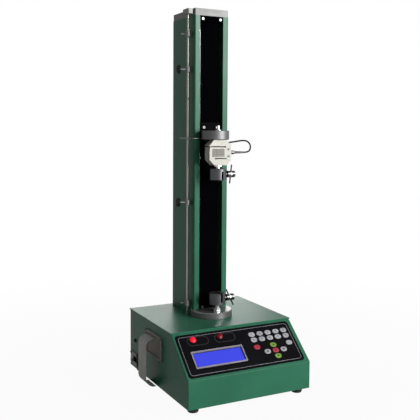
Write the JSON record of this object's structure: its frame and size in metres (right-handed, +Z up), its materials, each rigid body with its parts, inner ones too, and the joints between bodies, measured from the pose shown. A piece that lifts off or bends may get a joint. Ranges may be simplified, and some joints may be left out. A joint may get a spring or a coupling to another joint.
{
  "type": "universal testing machine",
  "caption": "Single-column bench testing machine: a sloped control cabinet, a screw-driven crosshead with an S-shaped load cell, screw grips and a limit rod with set stops.",
  "frame": {"origin": "bottom centre of the whole machine's box, on the surface it stands on", "axes": "+X to the right as seen from the control face, +Y to the back, +Z up along the column"},
  "size_m": [0.3916, 0.3964, 1.035],
  "materials": {
    "green_paint": "gloss enamel",
    "rubber": "matt",
    "black_overlay": "satin film",
    "lcd_bezel": "satin, with a lit blue screen set in it",
    "lamp_red": "clear lens",
    "printer_case": "moulded, fine grain",
    "paper": "thermal paper",
    "black_plastic": "moulded",
    "aluminium": "brushed",
    "disc_grey": "turned and blued",
    "bright_steel": "ground",
    "black_metal": "black oxide and satin paint",
    "motor_grey": "satin paint",
    "cable_black": "smooth sheath",
    "chrome": "polished plate",
    "board_green": "solder mask",
    "bronze": "turned",
    "cream_paint": "enamel",
    "key_grey": "moulded silicone",
    "key_red": "moulded silicone",
    "key_green": "moulded silicone"
  },
  "bodies": {
    "frame": {"base_pan": "green_paint", "cabinet_shell": "green_paint", "top_plate": "green_paint", "rubber_feet": "rubber", "control_overlay": "black_overlay", "lcd_module": "lcd_bezel", "indicator_lamps": "lamp_red", "panel_printer": "printer_case", "printer_paper": "paper", "power_inlet": "black_plastic", "column_housing": "green_paint", "column_cap": "aluminium", "foot_disc": "disc_grey", "guide_rods": "bright_steel", "dust_cover": "black_metal", "rod_guides": "bright_steel", "drive_motor": "motor_grey", "drive_belt": "cable_black", "bearing_block": "disc_grey", "lower_grip_stud": "bright_steel", "lower_grip_body": "chrome", "control_board": "board_green", "limit_switches": "black_plastic"},
    "crosshead": {"carriage": "black_metal", "drive_nut": "bronze", "crosshead_disc": "disc_grey", "load_cell": "cream_paint", "cell_studs": "bright_steel", "upper_grip_body": "chrome", "striker": "black_metal", "load_cell_cable": "cable_black"},
    "lead_screw": {"lead_screw": "bright_steel"},
    "motor_pulley": {"motor_pulley": "bright_steel"},
    "limit_rod": {"limit_rod": "chrome"},
    "upper_stop_collar": {"upper_stop_collar": "chrome"},
    "upper_stop_knob": {"upper_stop_knob": "black_plastic"},
    "lower_stop_collar": {"lower_stop_collar": "chrome"},
    "lower_stop_knob": {"lower_stop_knob": "black_plastic"},
    "upper_clamp_pad": {"upper_clamp_pad": "bright_steel"},
    "upper_clamp_screw": {"upper_clamp_screw": "black_metal"},
    "lower_clamp_pad": {"lower_clamp_pad": "bright_steel"},
    "lower_clamp_screw": {"lower_clamp_screw": "black_metal"},
    "power_rocker": {"power_rocker": "black_plastic"},
    "number_key_1": {"number_key_1": "key_grey"},
    "number_key_2": {"number_key_2": "key_grey"},
    "number_key_3": {"number_key_3": "key_grey"},
    "number_key_4": {"number_key_4": "key_grey"},
    "number_key_5": {"number_key_5": "key_grey"},
    "number_key_6": {"number_key_6": "key_grey"},
    "number_key_7": {"number_key_7": "key_grey"},
    "number_key_8": {"number_key_8": "key_grey"},
    "number_key_9": {"number_key_9": "key_grey"},
    "number_key_10": {"number_key_10": "key_grey"},
    "set_key": {"set_key": "key_red"},
    "up_key": {"up_key": "key_green"},
    "enter_key": {"enter_key": "key_grey"},
    "left_key": {"left_key": "key_grey"},
    "stop_key": {"stop_key": "key_red"},
    "right_key": {"right_key": "key_grey"},
    "down_key": {"down_key": "key_green"}
  },
  "joints": [
    {"name": "lead_screw_turn", "type": "hinge", "parent": "frame", "child": "lead_screw", "pos_m": [0.01415, 0.11675, 0.514], "axis": [0, 0, 1], "range_deg": [-12602, 11882]},
    {"name": "crosshead_slide", "type": "slide", "parent": "frame", "child": "crosshead", "axis": [0, 0, 1], "range_m": [-0.165, 0.175]},
    {"name": "motor_pulley_turn", "type": "hinge", "parent": "frame", "child": "motor_pulley", "pos_m": [0.10915, 0.11675, 0.132], "axis": [0, 0, 1], "range_deg": [-25204, 23764]},
    {"name": "limit_rod_slide", "type": "slide", "parent": "frame", "child": "limit_rod", "axis": [0, 0, 1], "range_m": [-0.004, 0.004], "stiffness_N_per_m": 9000, "springref_m": 0.0005},
    {"name": "upper_stop_slide", "type": "slide", "parent": "limit_rod", "child": "upper_stop_collar", "axis": [0, 0, 1], "range_m": [-0.175, 0.074]},
    {"name": "upper_stop_knob_turn", "type": "hinge", "parent": "upper_stop_collar", "child": "upper_stop_knob", "pos_m": [-0.04685, 0.06025, 0.869], "axis": [-0.9063, 0.4226, 0], "range_deg": [0, 360]},
    {"name": "lower_stop_slide", "type": "slide", "parent": "limit_rod", "child": "lower_stop_collar", "axis": [0, 0, 1], "range_m": [-0.262, 0.165]},
    {"name": "lower_stop_knob_turn", "type": "hinge", "parent": "lower_stop_collar", "child": "lower_stop_knob", "pos_m": [-0.04685, 0.06025, 0.499], "axis": [-0.9063, 0.4226, 0], "range_deg": [0, 360]},
    {"name": "upper_pad_slide", "type": "slide", "parent": "crosshead", "child": "upper_clamp_pad", "axis": [1, 0, 0], "range_m": [-0.004, 0]},
    {"name": "upper_clamp_turn", "type": "hinge", "parent": "upper_clamp_pad", "child": "upper_clamp_screw", "pos_m": [0.03715, -0.00625, 0.58], "axis": [1, 0, 0], "range_deg": [-962, 2]},
    {"name": "lower_pad_slide", "type": "slide", "parent": "frame", "child": "lower_clamp_pad", "axis": [1, 0, 0], "range_m": [-0.004, 0]},
    {"name": "lower_clamp_turn", "type": "hinge", "parent": "lower_clamp_pad", "child": "lower_clamp_screw", "pos_m": [0.03715, -0.00625, 0.234], "axis": [1, 0, 0], "range_deg": [-962, 2]},
    {"name": "power_rocker_tip", "type": "hinge", "parent": "frame", "child": "power_rocker", "pos_m": [-0.16735, 0.17825, 0.04], "axis": [0, 1, 0], "range_deg": [-16, 0]},
    {"name": "number_key_1_press", "type": "slide", "parent": "frame", "child": "number_key_1", "axis": [0, -0.66, 0.7513], "range_m": [-0.0008, 0], "stiffness_N_per_m": 500},
    {"name": "number_key_2_press", "type": "slide", "parent": "frame", "child": "number_key_2", "axis": [0, -0.66, 0.7513], "range_m": [-0.0008, 0], "stiffness_N_per_m": 500},
    {"name": "number_key_3_press", "type": "slide", "parent": "frame", "child": "number_key_3", "axis": [0, -0.66, 0.7513], "range_m": [-0.0008, 0], "stiffness_N_per_m": 500},
    {"name": "number_key_4_press", "type": "slide", "parent": "frame", "child": "number_key_4", "axis": [0, -0.66, 0.7513], "range_m": [-0.0008, 0], "stiffness_N_per_m": 500},
    {"name": "number_key_5_press", "type": "slide", "parent": "frame", "child": "number_key_5", "axis": [0, -0.66, 0.7513], "range_m": [-0.0008, 0], "stiffness_N_per_m": 500},
    {"name": "number_key_6_press", "type": "slide", "parent": "frame", "child": "number_key_6", "axis": [0, -0.66, 0.7513], "range_m": [-0.0008, 0], "stiffness_N_per_m": 500},
    {"name": "number_key_7_press", "type": "slide", "parent": "frame", "child": "number_key_7", "axis": [0, -0.66, 0.7513], "range_m": [-0.0008, 0], "stiffness_N_per_m": 500},
    {"name": "number_key_8_press", "type": "slide", "parent": "frame", "child": "number_key_8", "axis": [0, -0.66, 0.7513], "range_m": [-0.0008, 0], "stiffness_N_per_m": 500},
    {"name": "number_key_9_press", "type": "slide", "parent": "frame", "child": "number_key_9", "axis": [0, -0.66, 0.7513], "range_m": [-0.0008, 0], "stiffness_N_per_m": 500},
    {"name": "number_key_10_press", "type": "slide", "parent": "frame", "child": "number_key_10", "axis": [0, -0.66, 0.7513], "range_m": [-0.0008, 0], "stiffness_N_per_m": 500},
    {"name": "set_key_press", "type": "slide", "parent": "frame", "child": "set_key", "axis": [0, -0.66, 0.7513], "range_m": [-0.0008, 0], "stiffness_N_per_m": 500},
    {"name": "up_key_press", "type": "slide", "parent": "frame", "child": "up_key", "axis": [0, -0.66, 0.7513], "range_m": [-0.0008, 0], "stiffness_N_per_m": 500},
    {"name": "enter_key_press", "type": "slide", "parent": "frame", "child": "enter_key", "axis": [0, -0.66, 0.7513], "range_m": [-0.0008, 0], "stiffness_N_per_m": 500},
    {"name": "left_key_press", "type": "slide", "parent": "frame", "child": "left_key", "axis": [0, -0.66, 0.7513], "range_m": [-0.0008, 0], "stiffness_N_per_m": 500},
    {"name": "stop_key_press", "type": "slide", "parent": "frame", "child": "stop_key", "axis": [0, -0.66, 0.7513], "range_m": [-0.0008, 0], "stiffness_N_per_m": 500},
    {"name": "right_key_press", "type": "slide", "parent": "frame", "child": "right_key", "axis": [0, -0.66, 0.7513], "range_m": [-0.0008, 0], "stiffness_N_per_m": 500},
    {"name": "down_key_press", "type": "slide", "parent": "frame", "child": "down_key", "axis": [0, -0.66, 0.7513], "range_m": [-0.0008, 0], "stiffness_N_per_m": 500}
  ],
  "couplings": [
    {"joint": "lead_screw_turn", "follows": "crosshead_slide", "rad_per_m": -1256.6},
    {"joint": "motor_pulley_turn", "follows": "crosshead_slide", "rad_per_m": -2513.3},
    {"joint": "upper_clamp_turn", "follows": "upper_pad_slide", "rad_per_m": 4188.8},
    {"joint": "lower_clamp_turn", "follows": "lower_pad_slide", "rad_per_m": 4188.8}
  ]
}
